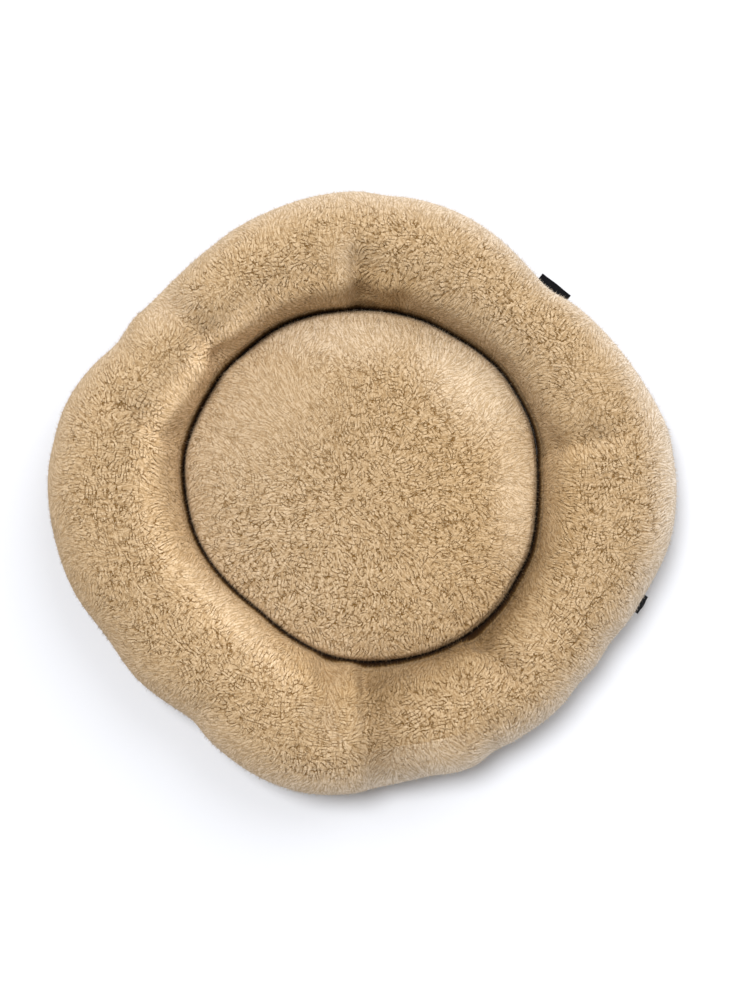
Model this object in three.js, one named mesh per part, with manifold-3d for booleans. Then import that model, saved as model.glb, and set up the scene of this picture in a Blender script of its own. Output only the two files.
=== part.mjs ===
// A round plush pet bed: a stuffed ring, a round cushion sewn into it, and two folded woven tabs in the
// ring's outer seam. Millimetres, +Z up. The origin is on the floor, under the middle of the ring's outline.
// Each solid reaches as far as its pile does.
import * as THREE from "three";
import { mergeVertices } from "three/addons/utils/BufferGeometryUtils.js";
import Module from "manifold-3d";

const wasm = await Module();
wasm.setup();

// Driving dimensions
const PIECE_GAP = 0.3; // between pieces that touch
const CUSHION_HEIGHT = 80; // the crown, above the floor
const CUSHION_SQUARENESS = 2.5; // 2 is an ellipse, and more is a flatter crown with a fuller edge
const OUTER_SEAM_HEIGHT = 47; // where the ring's two panels are joined, and the ring is widest
const SEAM_DEPTH = 14; // how far down the cushion and the ring press on each other
const RING_FOOT = { inside: 22, outside: 34 }; // how far the ring's foot is drawn in from its widest line
const CUSHION_FOOT = 24;
const COLUMN_STEP = 3; // degrees between the sections
const FOLD_COLUMNS = [-1.4, 0, 1.4]; // degrees, the extra sections at each fold
const CLOSEST_COLUMNS = 0.7; // degrees
const TOP_STEPS = 16; // from the outer seam over the crest to the cushion
const FOOT_STEPS = 3; // from a widest line down to the floor
const CROWN_STEPS = 9; // from the cushion's edge to its middle
const FLOOR_POLYGON = { corners: 12, radius: 110 }; // the large flat faces in the middle of the underside

// The ring's sections, seen from above, at every tenth degree from +X towards +Y: the radius of its outside
// and of the line where it meets the cushion, and the heights of its crest and of that line.
const SECTIONS = [
  { outer: 350, inner: 196, crest: 113, meet: 46 },
  { outer: 348, inner: 199, crest: 112, meet: 45 },
  { outer: 336, inner: 203, crest: 110, meet: 44 },
  { outer: 325, inner: 203, crest: 110, meet: 44 },
  { outer: 315, inner: 204, crest: 109, meet: 43 },
  { outer: 307, inner: 202, crest: 107, meet: 43 },
  { outer: 317, inner: 200, crest: 109, meet: 44 },
  { outer: 326, inner: 201, crest: 111, meet: 45 },
  { outer: 329, inner: 201, crest: 110, meet: 45 },
  { outer: 332, inner: 201, crest: 108, meet: 46 },
  { outer: 330, inner: 201, crest: 109, meet: 46 },
  { outer: 325, inner: 203, crest: 111, meet: 45 },
  { outer: 320, inner: 203, crest: 112, meet: 44 },
  { outer: 313, inner: 201, crest: 110, meet: 44 },
  { outer: 315, inner: 202, crest: 107, meet: 43 },
  { outer: 320, inner: 200, crest: 110, meet: 45 },
  { outer: 337, inner: 200, crest: 114, meet: 46 },
  { outer: 347, inner: 200, crest: 115, meet: 48 },
  { outer: 348, inner: 196, crest: 116, meet: 50 },
  { outer: 344, inner: 192, crest: 116, meet: 53 },
  { outer: 338, inner: 188, crest: 115, meet: 57 },
  { outer: 326, inner: 182, crest: 114, meet: 60 },
  { outer: 326, inner: 177, crest: 113, meet: 61 },
  { outer: 319, inner: 174, crest: 112, meet: 61 },
  { outer: 327, inner: 177, crest: 113, meet: 60 },
  { outer: 338, inner: 182, crest: 115, meet: 58 },
  { outer: 342, inner: 187, crest: 114, meet: 54 },
  { outer: 335, inner: 190, crest: 111, meet: 51 },
  { outer: 327, inner: 192, crest: 111, meet: 50 },
  { outer: 331, inner: 195, crest: 112, meet: 49 },
  { outer: 326, inner: 198, crest: 111, meet: 48 },
  { outer: 327, inner: 200, crest: 110, meet: 47 },
  { outer: 325, inner: 201, crest: 110, meet: 46 },
  { outer: 328, inner: 199, crest: 111, meet: 46 },
  { outer: 335, inner: 200, crest: 113, meet: 47 },
  { outer: 347, inner: 197, crest: 114, meet: 47 },
];

// The ring's folds. Each runs across the band from share `from` to share `to` of the way over it, where 0 is
// the outer seam and 1 is the cushion. It starts at angle `at` on the outside, lies `slant` degrees further
// on at the cushion, and bows `bow` degrees aside between. The cloth stands up steeply on one side of it:
// `steep` is 1 for its anticlockwise side, -1 for its clockwise side and 0 for neither.
const FOLDS = [
  { at: 11, slant: 1, bow: 0, from: 0.45, to: 1, depth: 7, width: 20, steep: -1 },
  { at: 6, slant: 2, bow: 0, from: 0, to: 0.25, depth: 2, width: 12, steep: 0 },
  { at: 46.5, slant: 0, bow: 0, from: 0, to: 0.3, depth: 4, width: 17, steep: 0 },
  { at: 79, slant: 0, bow: 0, from: 0.7, to: 1, depth: 4, width: 12, steep: 1 },
  { at: 85.3, slant: 0, bow: 0, from: 0, to: 0.3, depth: 3.5, width: 12, steep: 0 },
  { at: 91.5, slant: 0, bow: 0, from: 0.5, to: 1, depth: 8, width: 16, steep: 1 },
  { at: 121, slant: 0, bow: 0, from: 0, to: 0.25, depth: 2, width: 14, steep: 0 },
  { at: 140.2, slant: -0.5, bow: -3.2, from: 0.1, to: 1, depth: 10, width: 24, steep: 1 },
  { at: 148.5, slant: 3, bow: 0, from: 0, to: 0.4, depth: 4.5, width: 13, steep: 0 },
  { at: 155, slant: 13, bow: 0, from: 0.4, to: 1, depth: 6, width: 22, steep: 1 },
  { at: 171, slant: -2, bow: 0, from: 0, to: 0.25, depth: 2.5, width: 15, steep: 0 },
  { at: 233.5, slant: 4, bow: 0, from: 0, to: 0.36, depth: 6, width: 14, steep: 0 },
  { at: 261, slant: -3.8, bow: 0, from: 0.42, to: 1, depth: 8, width: 18, steep: -1 },
  { at: 272, slant: -1.2, bow: 0, from: 0.1, to: 1, depth: 8, width: 20, steep: -1 },
  { at: 284, slant: 0, bow: 0, from: 0, to: 0.22, depth: 2.5, width: 12, steep: 0 },
  { at: 295.6, slant: 1, bow: 0, from: 0, to: 0.3, depth: 6, width: 12, steep: -1 },
  { at: 310, slant: -3.4, bow: 0, from: 0.5, to: 1, depth: 8, width: 18, steep: -1 },
  { at: 318.3, slant: 2, bow: 0, from: 0, to: 0.3, depth: 3, width: 12, steep: 0 },
  { at: 328.2, slant: 0, bow: 0, from: 0, to: 0.3, depth: 5, width: 12, steep: 0 },
];
const FOLD_FADE = 0.14; // the share of the band over which a fold's end dies away
const FOLD_AT_CUSHION = 0.25; // the share of a fold's depth that is left where the ring meets the cushion
const STEEP_BANK = 0.4; // the width of the steep side, as a share of the other's
// The bulge beside a fold, on its steep side: a share of the fold's depth, and where, in fold widths.
const STEEP_CREST = { height: 0.3, at: 1.1, width: 1 };

// The woven tabs: the long side, how far they stand out of the seam, and how they hang.
const TAB_CLOTH = 1; // thickness of one layer
const TAB_LAYER_GAP = 0.5;
const TAB_ROOT = 20; // drawn back into the ring, and then cut off by it
const TABS = [
  { name: "side_tab_large", at: 46.3, length: 40, reach: 11, droop: 12, turn: 5.5 },
  { name: "side_tab_small", at: 337.9, length: 22, reach: 9, droop: 58, turn: -9.5 },
];

const COLOURS = {
  fleece: { color: 0xc8ab80, roughness: 0.95, metalness: 0 },
  cushion: { color: 0xcdb189, roughness: 0.95, metalness: 0 },
  tab: { color: 0x0b0b0c, roughness: 0.7, metalness: 0 },
};

const { degToRad: radians, euclideanModulo, lerp, smoothstep: smooth } = THREE.MathUtils;

// The turn from one angle to another, between -180 and 180.
const turnTo = (from, to) => euclideanModulo(to - from + 180, 360) - 180;

const polar = (degrees, radius, height) =>
  new THREE.Vector3(radius * Math.cos(radians(degrees)), radius * Math.sin(radians(degrees)), height);

// A column of SECTIONS at any angle, on a smooth closed curve through its rows.
function around(column, degrees) {
  const rows = SECTIONS.length;
  const place = euclideanModulo((degrees / 360) * rows, rows);
  const row = Math.floor(place);
  const t = place - row;
  const [a, b, c, d] = [-1, 0, 1, 2].map((k) => SECTIONS[(row + k + rows) % rows][column]);
  return b + 0.5 * t * (c - a + t * (2 * a - 5 * b + 4 * c - d + t * (3 * (b - c) + d - a)));
}

// How far one fold pushes the ring's surface in at an angle and a share of the way over the band.
function foldDepth(fold, degrees, share, radius) {
  const line = fold.at + fold.slant * share + fold.bow * 4 * share * (1 - share);
  const away = (radians(turnTo(line, degrees)) * radius) / fold.width;
  const bank = away * fold.steep > 0 ? away / STEEP_BANK : away;
  const crest = (away * fold.steep - STEEP_CREST.at) / STEEP_CREST.width;
  const bulge = Math.abs(fold.steep) * STEEP_CREST.height * Math.exp(-crest * crest);
  const starts = fold.from > 0 ? smooth(share, fold.from - FOLD_FADE, fold.from + FOLD_FADE) : 1;
  const ends = fold.to < 1 ? 1 - smooth(share, fold.to - FOLD_FADE, fold.to + FOLD_FADE) : 1;
  return fold.depth * starts * ends * (Math.exp(-bank * bank) - bulge);
}

const foldsDepth = (degrees, share, radius) =>
  FOLDS.reduce((sum, fold) => sum + foldDepth(fold, degrees, share, radius), 0);

// A quarter turn from the lower end of a wall to the floor, as steps: how far drawn in, and how high.
const foot = (drawnIn, height) =>
  Array.from({ length: FOOT_STEPS }, (_, k) => {
    const turn = ((k + 1) / FOOT_STEPS) * (Math.PI / 2);
    const onFloor = k + 1 === FOOT_STEPS;
    return { in: drawnIn * (1 - Math.cos(turn)), height: onFloor ? 0 : height * (1 - Math.sin(turn)) };
  });

// The closed outline of the ring's section at an angle: from the outer seam over the top to the cushion,
// down along it to the floor, and back across the floor.
function ringSection(degrees) {
  const [outer, inner, crest, meet] = ["outer", "inner", "crest", "meet"].map((c) => around(c, degrees));
  const middle = (outer + inner) / 2;
  const half = (outer - inner) / 2;
  const top = Array.from({ length: TOP_STEPS + 1 }, (_, k) => {
    const share = k / TOP_STEPS;
    const turn = share * Math.PI;
    const base = lerp(OUTER_SEAM_HEIGHT, meet, share);
    const radius = middle + half * Math.cos(turn);
    const kept = lerp(1, FOLD_AT_CUSHION, smooth(share, 0.85, 1));
    const pushed = k < TOP_STEPS ? kept * foldsDepth(degrees, share, radius) : 0;
    const height = base + (crest - base - pushed) * Math.sin(turn);
    return polar(degrees, radius - pushed * Math.cos(turn), height);
  });
  const seamFoot = meet - SEAM_DEPTH;
  const inside = [{ in: 0, height: seamFoot }, ...foot(RING_FOOT.inside, seamFoot)].map((step) =>
    polar(degrees, inner + step.in, step.height),
  );
  const notch = foldsDepth(degrees, 0, outer);
  const outside = foot(RING_FOOT.outside, OUTER_SEAM_HEIGHT).map((step) =>
    polar(degrees, outer - step.in - (notch * step.height) / OUTER_SEAM_HEIGHT, step.height),
  );
  return [...top, ...inside, ...outside.reverse()];
}

// The cushion's section at an angle, from its flat underside round the edge to just short of the crown.
function cushionSection(degrees) {
  const meet = around("meet", degrees);
  const edge = around("inner", degrees) - PIECE_GAP;
  const seamFoot = meet - SEAM_DEPTH;
  const under = [{ in: 0, height: seamFoot }, ...foot(CUSHION_FOOT, seamFoot)].map((step) =>
    polar(degrees, edge - step.in, step.height),
  );
  const power = 2 / CUSHION_SQUARENESS;
  const top = Array.from({ length: CROWN_STEPS }, (_, k) => {
    const turn = (k / CROWN_STEPS) * (Math.PI / 2);
    const height = meet + (CUSHION_HEIGHT - meet) * Math.sin(turn) ** power;
    return polar(degrees, edge * Math.cos(turn) ** power, height);
  });
  return [...under.reverse(), ...top];
}

// The angles of the sections: an even step, and more of them at each fold.
function columnAngles() {
  const even = Array.from({ length: 360 / COLUMN_STEP }, (_, i) => i * COLUMN_STEP);
  const foldMiddles = FOLDS.map((fold) => fold.at + fold.slant / 2 + fold.bow);
  const atFolds = foldMiddles.flatMap((angle) => FOLD_COLUMNS.map((aside) => angle + aside));
  const kept = [];
  for (const angle of [...atFolds, ...even]) {
    if (kept.every((other) => Math.abs(turnTo(other, angle)) > CLOSEST_COLUMNS)) kept.push(angle);
  }
  return kept.sort((a, b) => a - b);
}

// The two triangles between neighbouring points a and d of one section and b and c of the next.
const quad = (a, b, c, d) => [a, b, c, a, c, d];

function geometryFrom(points, faces) {
  const geometry = new THREE.BufferGeometry().setFromPoints(points);
  geometry.setIndex(faces);
  geometry.computeVertexNormals();
  return geometry;
}

// The ring: each section closes on itself, and the last joins the first.
function ringGeometry(columns) {
  const sections = columns.map(ringSection);
  const size = sections[0].length;
  const faces = [];
  for (let i = 0; i < sections.length; i++) {
    const next = (i + 1) % sections.length;
    for (let j = 0; j < size; j++) {
      const over = (j + 1) % size;
      faces.push(...quad(i * size + j, next * size + j, next * size + over, i * size + over));
    }
  }
  return geometryFrom(sections.flat(), faces);
}

// The cushion: its sections, a fan to the crown, and a flat underside round a polygon of large faces.
function cushionGeometry(columns) {
  const sections = columns.map(cushionSection);
  const size = sections[0].length;
  const points = sections.flat();
  const crown = points.push(new THREE.Vector3(0, 0, CUSHION_HEIGHT)) - 1;
  const centre = points.push(new THREE.Vector3(0, 0, 0)) - 1;
  const firstCorner = points.length;
  const { corners, radius } = FLOOR_POLYGON;
  for (let k = 0; k < corners; k++) points.push(polar((k * 360) / corners, radius, 0));
  const cornerAt = (degrees) => firstCorner + (Math.floor((degrees * corners) / 360) % corners);
  const faces = [];
  for (let i = 0; i < sections.length; i++) {
    const next = (i + 1) % sections.length;
    for (let j = 0; j + 1 < size; j++) {
      faces.push(...quad(i * size + j, next * size + j, next * size + j + 1, i * size + j + 1));
    }
    faces.push(i * size + size - 1, next * size + size - 1, crown);
    const here = cornerAt(columns[i]);
    const there = cornerAt(columns[next]);
    faces.push(next * size, i * size, here);
    if (there !== here) faces.push(there, next * size, here);
  }
  for (let k = 0; k < corners; k++) faces.push(centre, firstCorner + ((k + 1) % corners), firstCorner + k);
  return geometryFrom(points, faces);
}

// A closed geometry as a solid that can be cut, and back.
function solidOf(geometry) {
  const bare = geometry.clone();
  bare.deleteAttribute("normal");
  bare.deleteAttribute("uv");
  const { attributes, index } = mergeVertices(bare, 1e-4);
  const vertProperties = new Float32Array(attributes.position.array);
  const triVerts = new Uint32Array(index.array);
  return new wasm.Manifold(new wasm.Mesh({ numProp: 3, vertProperties, triVerts }));
}

function geometryOf(solid) {
  const { vertProperties, triVerts } = solid.getMesh();
  const geometry = new THREE.BufferGeometry();
  geometry.setAttribute("position", new THREE.BufferAttribute(new Float32Array(vertProperties), 3));
  geometry.setIndex(new THREE.BufferAttribute(new Uint32Array(triVerts), 1));
  geometry.computeVertexNormals();
  return geometry;
}

// A tab is one strip of cloth folded back on itself, with its two ends in the ring's outer seam. It is made
// too long, cut off by the ring, and then moved out by the gap between pieces.
function tabGeometry(tab, ringSolid) {
  const outerTurn = TAB_CLOTH + TAB_LAYER_GAP / 2;
  const innerTurn = TAB_LAYER_GAP / 2;
  const turnCentre = tab.reach - outerTurn;
  const section = new THREE.Shape();
  section.moveTo(-TAB_ROOT, -outerTurn);
  section.lineTo(turnCentre, -outerTurn);
  section.absarc(turnCentre, 0, outerTurn, -Math.PI / 2, Math.PI / 2, false);
  section.lineTo(-TAB_ROOT, outerTurn);
  section.lineTo(-TAB_ROOT, innerTurn);
  section.lineTo(turnCentre, innerTurn);
  section.absarc(turnCentre, 0, innerTurn, Math.PI / 2, -Math.PI / 2, true);
  section.lineTo(-TAB_ROOT, -innerTurn);
  const extrusion = { depth: tab.length, bevelEnabled: false, curveSegments: 4 };
  const strip = new THREE.ExtrudeGeometry(section, extrusion);
  strip.translate(0, 0, -tab.length / 2);
  strip.rotateX(Math.PI / 2);
  strip.rotateY(radians(tab.droop));
  strip.rotateZ(radians(tab.turn));
  const outer = around("outer", tab.at);
  strip.translate(outer - foldsDepth(tab.at, 0, outer), 0, OUTER_SEAM_HEIGHT);
  strip.rotateZ(radians(tab.at));
  const distance = (solid) => {
    const { min, max } = solid.boundingBox();
    return Math.hypot(min[0] + max[0], min[1] + max[1]);
  };
  const pieces = solidOf(strip).subtract(ringSolid).decompose();
  const standingOut = pieces.sort((a, b) => distance(b) - distance(a))[0];
  const moved = polar(tab.at, PIECE_GAP, 0);
  return geometryOf(standingOut).translate(moved.x, moved.y, moved.z);
}

function piece(name, geometry, finish) {
  const mesh = new THREE.Mesh(geometry, new THREE.MeshStandardMaterial(finish));
  mesh.name = name;
  return mesh;
}

const columns = columnAngles();
const ring = ringGeometry(columns);
const ringSolid = solidOf(ring);

const bed = new THREE.Group();
bed.add(piece("ring", ring, COLOURS.fleece));
bed.add(piece("cushion", cushionGeometry(columns), COLOURS.cushion));
for (const tab of TABS) bed.add(piece(tab.name, tabGeometry(tab, ringSolid), COLOURS.tab));

// The sections' angles are measured from a point near the middle, and the origin is the outline's own middle.
ring.computeBoundingBox();
const middle = ring.boundingBox.getCenter(new THREE.Vector3());
bed.position.set(-middle.x, -middle.y, 0);

const part = new THREE.Group();
part.add(bed);

export default part;
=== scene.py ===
import math

import bpy
import numpy as np
from mathutils import Matrix, Vector
from mathutils.bvhtree import BVHTree


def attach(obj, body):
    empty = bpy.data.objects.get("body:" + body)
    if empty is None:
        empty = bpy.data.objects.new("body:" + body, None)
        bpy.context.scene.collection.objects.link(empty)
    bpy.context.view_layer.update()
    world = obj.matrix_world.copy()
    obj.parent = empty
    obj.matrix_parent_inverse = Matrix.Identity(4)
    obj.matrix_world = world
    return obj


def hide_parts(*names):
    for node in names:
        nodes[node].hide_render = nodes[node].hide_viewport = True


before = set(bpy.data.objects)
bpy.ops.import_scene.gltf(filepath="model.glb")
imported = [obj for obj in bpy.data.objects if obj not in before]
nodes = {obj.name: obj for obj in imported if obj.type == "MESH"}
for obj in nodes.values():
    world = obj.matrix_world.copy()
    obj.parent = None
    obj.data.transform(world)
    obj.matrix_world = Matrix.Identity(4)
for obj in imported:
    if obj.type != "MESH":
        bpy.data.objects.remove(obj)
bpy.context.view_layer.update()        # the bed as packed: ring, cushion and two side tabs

# Round fleece pet bed: a stuffed plush ring, a plush cushion sewn into it and two black woven side tabs.
# Metres, +Z up, seen from straight above.

mm = 0.001
print("Frame loaded:", sorted(nodes))

bed = {
    "middle": (-1.0 * mm, 3.1 * mm),  # the point that the ring's sections turn about
    "floorGap": 0.3 * mm,             # the lowest pile above the floor
}


def smoothStep(low, high, value):
    share = np.clip((value - low) / (high - low), 0, 1)
    return share * share * (3 - 2 * share)


def lengthOf(vectors):
    return np.sqrt((vectors * vectors).sum(-1))


def unit(vectors):
    return vectors / np.maximum(lengthOf(vectors), 1e-9)[..., None]


def fromMiddle(points):
    return points[:, :2] - np.array(bed["middle"])


def rowsOf(columns, *rows):
    # the rows of a table, each by the names of its columns
    return [dict(zip(columns.split(), row)) for row in rows]


def tableAt(table, label, degrees):
    # a table's value between its rows, at so many degrees round the bed
    return np.interp(degrees, [row["at"] for row in table], [row[label] for row in table])


def shownObject(name, data):
    thing = bpy.data.objects.new(name, data)
    bpy.context.scene.collection.objects.link(thing)
    return thing


# Noise in space. The same points always get the same value, so neighbouring pieces agree at their seams.
dice = np.random.default_rng(7)
shuffled = dice.permutation(256)
leanings = unit(dice.normal(size=(256, 3))).astype(np.float32)


def noiseAt(points, size, layer):
    spots = points / size + layer * 13.7
    corner = np.floor(spots).astype(np.int32)
    inside = (spots - corner).astype(np.float32)
    blend = inside ** 3 * (inside * (inside * 6 - 15) + 10)
    total = np.zeros(len(points), np.float32)
    for dx in (0, 1):
        alongX = shuffled[(corner[:, 0] + dx) & 255]
        weightX = blend[:, 0] if dx else 1 - blend[:, 0]
        for dy in (0, 1):
            alongY = shuffled[(alongX + corner[:, 1] + dy) & 255]
            weightY = blend[:, 1] if dy else 1 - blend[:, 1]
            for dz in (0, 1):
                leaning = leanings[shuffled[(alongY + corner[:, 2] + dz) & 255]]
                weightZ = blend[:, 2] if dz else 1 - blend[:, 2]
                offset = inside - np.array((dx, dy, dz), np.float32)
                total += weightX * weightY * weightZ * (leaning * offset).sum(1)
    return total * 3.6  # about -2.5 to 2.5, with a spread of 1


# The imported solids, as something to cast rays at
def treeOf(node):
    mesh = nodes[node].data
    return BVHTree.FromPolygons([v.co for v in mesh.vertices], [p.vertices[:] for p in mesh.polygons])


def hitPlace(tree, start, direction):
    place = tree.ray_cast(start, direction)[0]
    return place if place else start


def drawnFiner(grid, times):
    # an open square grid with so many steps for each old one
    old = np.arange(len(grid))
    new = np.arange((len(grid) - 1) * times + 1) / times
    for axis in (0, 1):
        grid = np.apply_along_axis(lambda row: np.interp(new, old, row), axis, grid)
    return grid


def softened(grid, times, axis, closed=True):
    for _ in range(times):
        if closed:
            before, after = np.roll(grid, 1, axis), np.roll(grid, -1, axis)
            grid = (before + 2 * grid + after) / 4
        else:
            inner = (grid[:, :-2] + 2 * grid[:, 1:-1] + grid[:, 2:]) / 4
            grid = np.concatenate((grid[:, :1], inner, grid[:, -1:]), 1)
    return grid


def refined(grid, times, axis):
    # a closed row of points drawn through a smooth curve, with so many steps for each old one
    shares = np.arange(times) / times
    a, b, c, d = (np.roll(grid, -k, axis) for k in (-1, 0, 1, 2))
    parts = []
    for t in shares:
        parts.append(b + 0.5 * t * (c - a + t * (2 * a - 5 * b + 4 * c - d + t * (3 * (b - c) + d - a))))
    return np.stack(parts, axis + 1).reshape(
        grid.shape[:axis] + (grid.shape[axis] * times,) + grid.shape[axis + 1:])


def meshOf(name, points, faces):
    mesh = bpy.data.meshes.new(name)
    faces = faces.tolist() if isinstance(faces, np.ndarray) else faces
    mesh.from_pydata(np.asarray(points).tolist(), [], faces)
    mesh.update()
    return mesh


def normalsOf(points, faces):
    mesh = meshOf("forNormals", points, faces)
    normals = np.empty(len(points) * 3, np.float32)
    mesh.vertex_normals.foreach_get("vector", normals)
    bpy.data.meshes.remove(mesh)
    return normals.reshape(-1, 3)


def pileShading(points, faces, smoothNormals):
    # half the pile's own normals and half the smooth cover's, so that the relief shades softly
    return unit(normalsOf(points, faces) * 0.5 + smoothNormals * 0.5)


# Cloth
clothWork = {
    "pressure": 4.0,
    "frames": 20,
    "mostMove": 5 * mm,
    "quality": 4,
    "mass": 0.3,
    "stretch": 12,           # stiffness against being pulled or pushed together
    "shear": 6,
    "bending": 0.6,
}


def puffedUp(points, faces, held):
    # blows the cover up like a filled pad; held is 1 where the cloth is sewn or lies on the floor
    piece = shownObject("coverInWork", meshOf("coverInWork", points, faces))
    sewn = piece.vertex_groups.new(name="sewn")
    steps = np.round(held * 4).astype(int)
    for step in (1, 2, 3, 4):
        sewn.add(np.nonzero(steps == step)[0].tolist(), step / 4, "REPLACE")
    cloth = piece.modifiers.new("Cloth", "CLOTH")
    settings = cloth.settings
    settings.quality = clothWork["quality"]
    settings.mass = clothWork["mass"]
    settings.tension_stiffness = clothWork["stretch"]
    settings.compression_stiffness = clothWork["stretch"]
    settings.shear_stiffness = clothWork["shear"]
    settings.bending_stiffness = clothWork["bending"]
    settings.use_pressure = True
    settings.uniform_pressure_force = clothWork["pressure"]
    settings.effector_weights.gravity = 0
    settings.vertex_group_mass = "sewn"
    settings.pin_stiffness = 1
    cloth.collision_settings.use_collision = False
    cloth.collision_settings.use_self_collision = False
    scene = bpy.context.scene
    for step in range(1, clothWork["frames"] + 1):
        scene.frame_set(step)
    shown = piece.evaluated_get(bpy.context.evaluated_depsgraph_get())
    moved = np.empty(len(points) * 3, np.float32)
    shown.data.vertices.foreach_get("co", moved)
    mesh = piece.data
    bpy.data.objects.remove(piece)
    bpy.data.meshes.remove(mesh)
    scene.frame_set(1)
    move = moved.reshape(-1, 3) - points
    size = lengthOf(move)[:, None]
    return points + move * np.minimum(1, clothWork["mostMove"] / np.maximum(size, 1e-9))


# Ring
ringWork = {
    "columns": 300,          # round the ring
    "finer": 4,              # steps of the finished surface for each of the cover's
    "tubeHeight": 48 * mm,   # the middle of the stuffed tube above the floor
    "cover": 3.2 * mm,       # the cover lies this far inside the tips of the pile, by the cushion,
    "outerCover": 0.2 * mm,  # and this far on the outside
    "fuller": 5.5 * mm,      # the roll bulges this much over the inner wall
    "fullerAt": 0.74,        # as a share of the way over the band
    "fullerSpan": 0.085,
    "slack": 2.5 * mm,       # and starts this much smaller before it is puffed up
    "innerWall": (0.75, 0.85),  # the shares of the band where the wall by the cushion begins
    "sewnProud": 0.15 * mm,  # where it is sewn, the cover lies this far outside the solid
    "touching": 1.2 * mm,    # ring and cushion touch where the gap is below this,
    "aboveFoot": 20 * mm,    # looked for above this height
    "sectors": 4,
}
# Angles round the tube, from outside and low, over the crest and down the inner wall: close together where
# the pile shows, and far apart underneath.
tubeAngles = [*range(-50, 195, 5), 202, 213, 228, 248, 270, 288, 301]

# The creases, which are sharper than the imported solid's folds. Each runs over the band from share `start`
# to share `end`, where 0 is the outer seam and 1 is the cushion. The cloth bulges over on the `lobe` side, 1
# for anticlockwise and -1 for clockwise, and rises slowly again over `width` millimetres on the other, where
# shade is painted on the pile, darker by the share `shade`.
creases = rowsOf(
    "at slant bow start end depth width lobe shade",
    (11.0, 1.0, 0.0, 0.45, 1.0, 3.0, 18, -1, 0.15), (79.0, 0.0, 0.0, 0.72, 1.0, 1.5, 9, 1, 0.1),
    (91.5, 0.0, 0.0, 0.55, 1.0, 4.0, 24, 1, 0.22), (140.2, -0.5, -3.2, 0.1, 0.9, 4.0, 24, 1, 0.08),
    (155.0, 13.0, 0.0, 0.4, 0.85, 2.0, 16, 1, 0.08), (261.0, -3.8, 0.0, 0.5, 1.0, 1.8, 24, -1, 0.2),
    (272.0, -1.2, 0.0, 0.08, 1.0, 4.5, 50, -1, 0.3), (310.0, -3.4, 0.0, 0.5, 1.0, 3.5, 18, -1, 0.2))
creaseFade = 0.12     # the share of the band over which a crease's end dies away
lobeEdge = 7 * mm     # how quickly the lobe rolls down into its crease
lobeSwell = 0.35      # how far the lobe stands up, as a share of the crease's depth
lobeMiddle = 16 * mm


def castRing():
    tree = treeOf("ring")
    middle = Vector((*bed["middle"], ringWork["tubeHeight"]))
    grid = np.empty((ringWork["columns"], len(tubeAngles), 3))
    heart = np.empty((ringWork["columns"], 3))
    for i in range(ringWork["columns"]):
        turn = i / ringWork["columns"] * 2 * math.pi
        outwards = Vector((math.cos(turn), math.sin(turn), 0))
        inner = hitPlace(tree, middle, outwards)
        outer = hitPlace(tree, middle + outwards, -outwards)
        heart[i] = (inner + outer) / 2
        for j, angle in enumerate(tubeAngles):
            lift = math.radians(angle)
            direction = outwards * math.cos(lift) + Vector((0, 0, math.sin(lift)))
            grid[i, j] = hitPlace(tree, Vector(heart[i]), direction)
    return grid, heart


def ringFaces(columns, rows, closed=True):
    across = np.arange(rows)
    along = np.arange(columns if closed else columns - 1)
    here = along[:, None] * rows
    there = (along[:, None] + 1) % columns * rows
    over = (across + 1) % rows
    quads = np.stack((here + across, there + across, there + over, here + over), -1)
    return quads.reshape(-1, 4)


def aroundAndAcross(points, heart):
    # the angle round the bed, and the share of the way over the band, of each point
    offset = fromMiddle(points)
    turn = np.arctan2(offset[:, 1], offset[:, 0]) % (2 * math.pi)
    radius = lengthOf(offset)
    place = turn / (2 * math.pi) * len(heart)
    heartRadius = lengthOf(fromMiddle(heart))
    heartHere = np.interp(place, np.arange(len(heart) + 1), np.append(heartRadius, heartRadius[0]))
    lift = np.degrees(np.arctan2(points[:, 2] - ringWork["tubeHeight"], radius - heartHere))
    lift = np.where(lift < -90, lift + 360, lift)
    return np.degrees(turn), lift / 180, radius


def creaseDepths(degrees, share, radius):
    # how far the cover is drawn in, and how much shade is painted on the pile beside the creases
    total, shade = np.zeros(len(degrees)), np.zeros(len(degrees))
    for crease in creases:
        line = crease["at"] + crease["slant"] * share + crease["bow"] * 4 * share * (1 - share)
        away = np.radians((degrees - line + 180) % 360 - 180) * radius * crease["lobe"]
        dip = np.exp(-(away / np.where(away > 0, lobeEdge, crease["width"] * mm)) ** 2)
        swell = lobeSwell * np.exp(-((away - lobeMiddle) / lobeMiddle * 1.6) ** 2)
        starts = smoothStep(crease["start"] - creaseFade, crease["start"] + creaseFade, share)
        ends = 1 - smoothStep(crease["end"] - creaseFade, crease["end"] + creaseFade, share)
        total += crease["depth"] * mm * starts * ends * (dip - swell)
        lowSide = smoothStep(-2 * mm, 4 * mm, -away) * dip
        shade = np.maximum(shade, crease["shade"] * starts * ends * lowSide)
    return total, shade


# Pile
pileWork = {
    "across": 1.05 * mm,        # the locks are drawn together over this far across their lie,
    "along": 1.7 * mm,          # this far along it,
    "apart": 2.4 * mm,          # and driven apart over this far, which leaves them about 4 mm wide
    "rounds": 2,
    "streak": 3.2 * mm,         # the first noise is drawn out this far
    "cutSize": 1.25,            # the cross cuts are this much further apart than the partings
    "lineWidth": 0.5,           # of a parting, where the pile's field runs from -1 to 1
    "partingDepth": 1.6 * mm,
    "rise": 2.0 * mm,           # how far the clumps stand out of the cover
    "lean": 0.8,                # how far the tips fall over, for each millimetre of height
    "fluff": 0.2 * mm,
}


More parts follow.
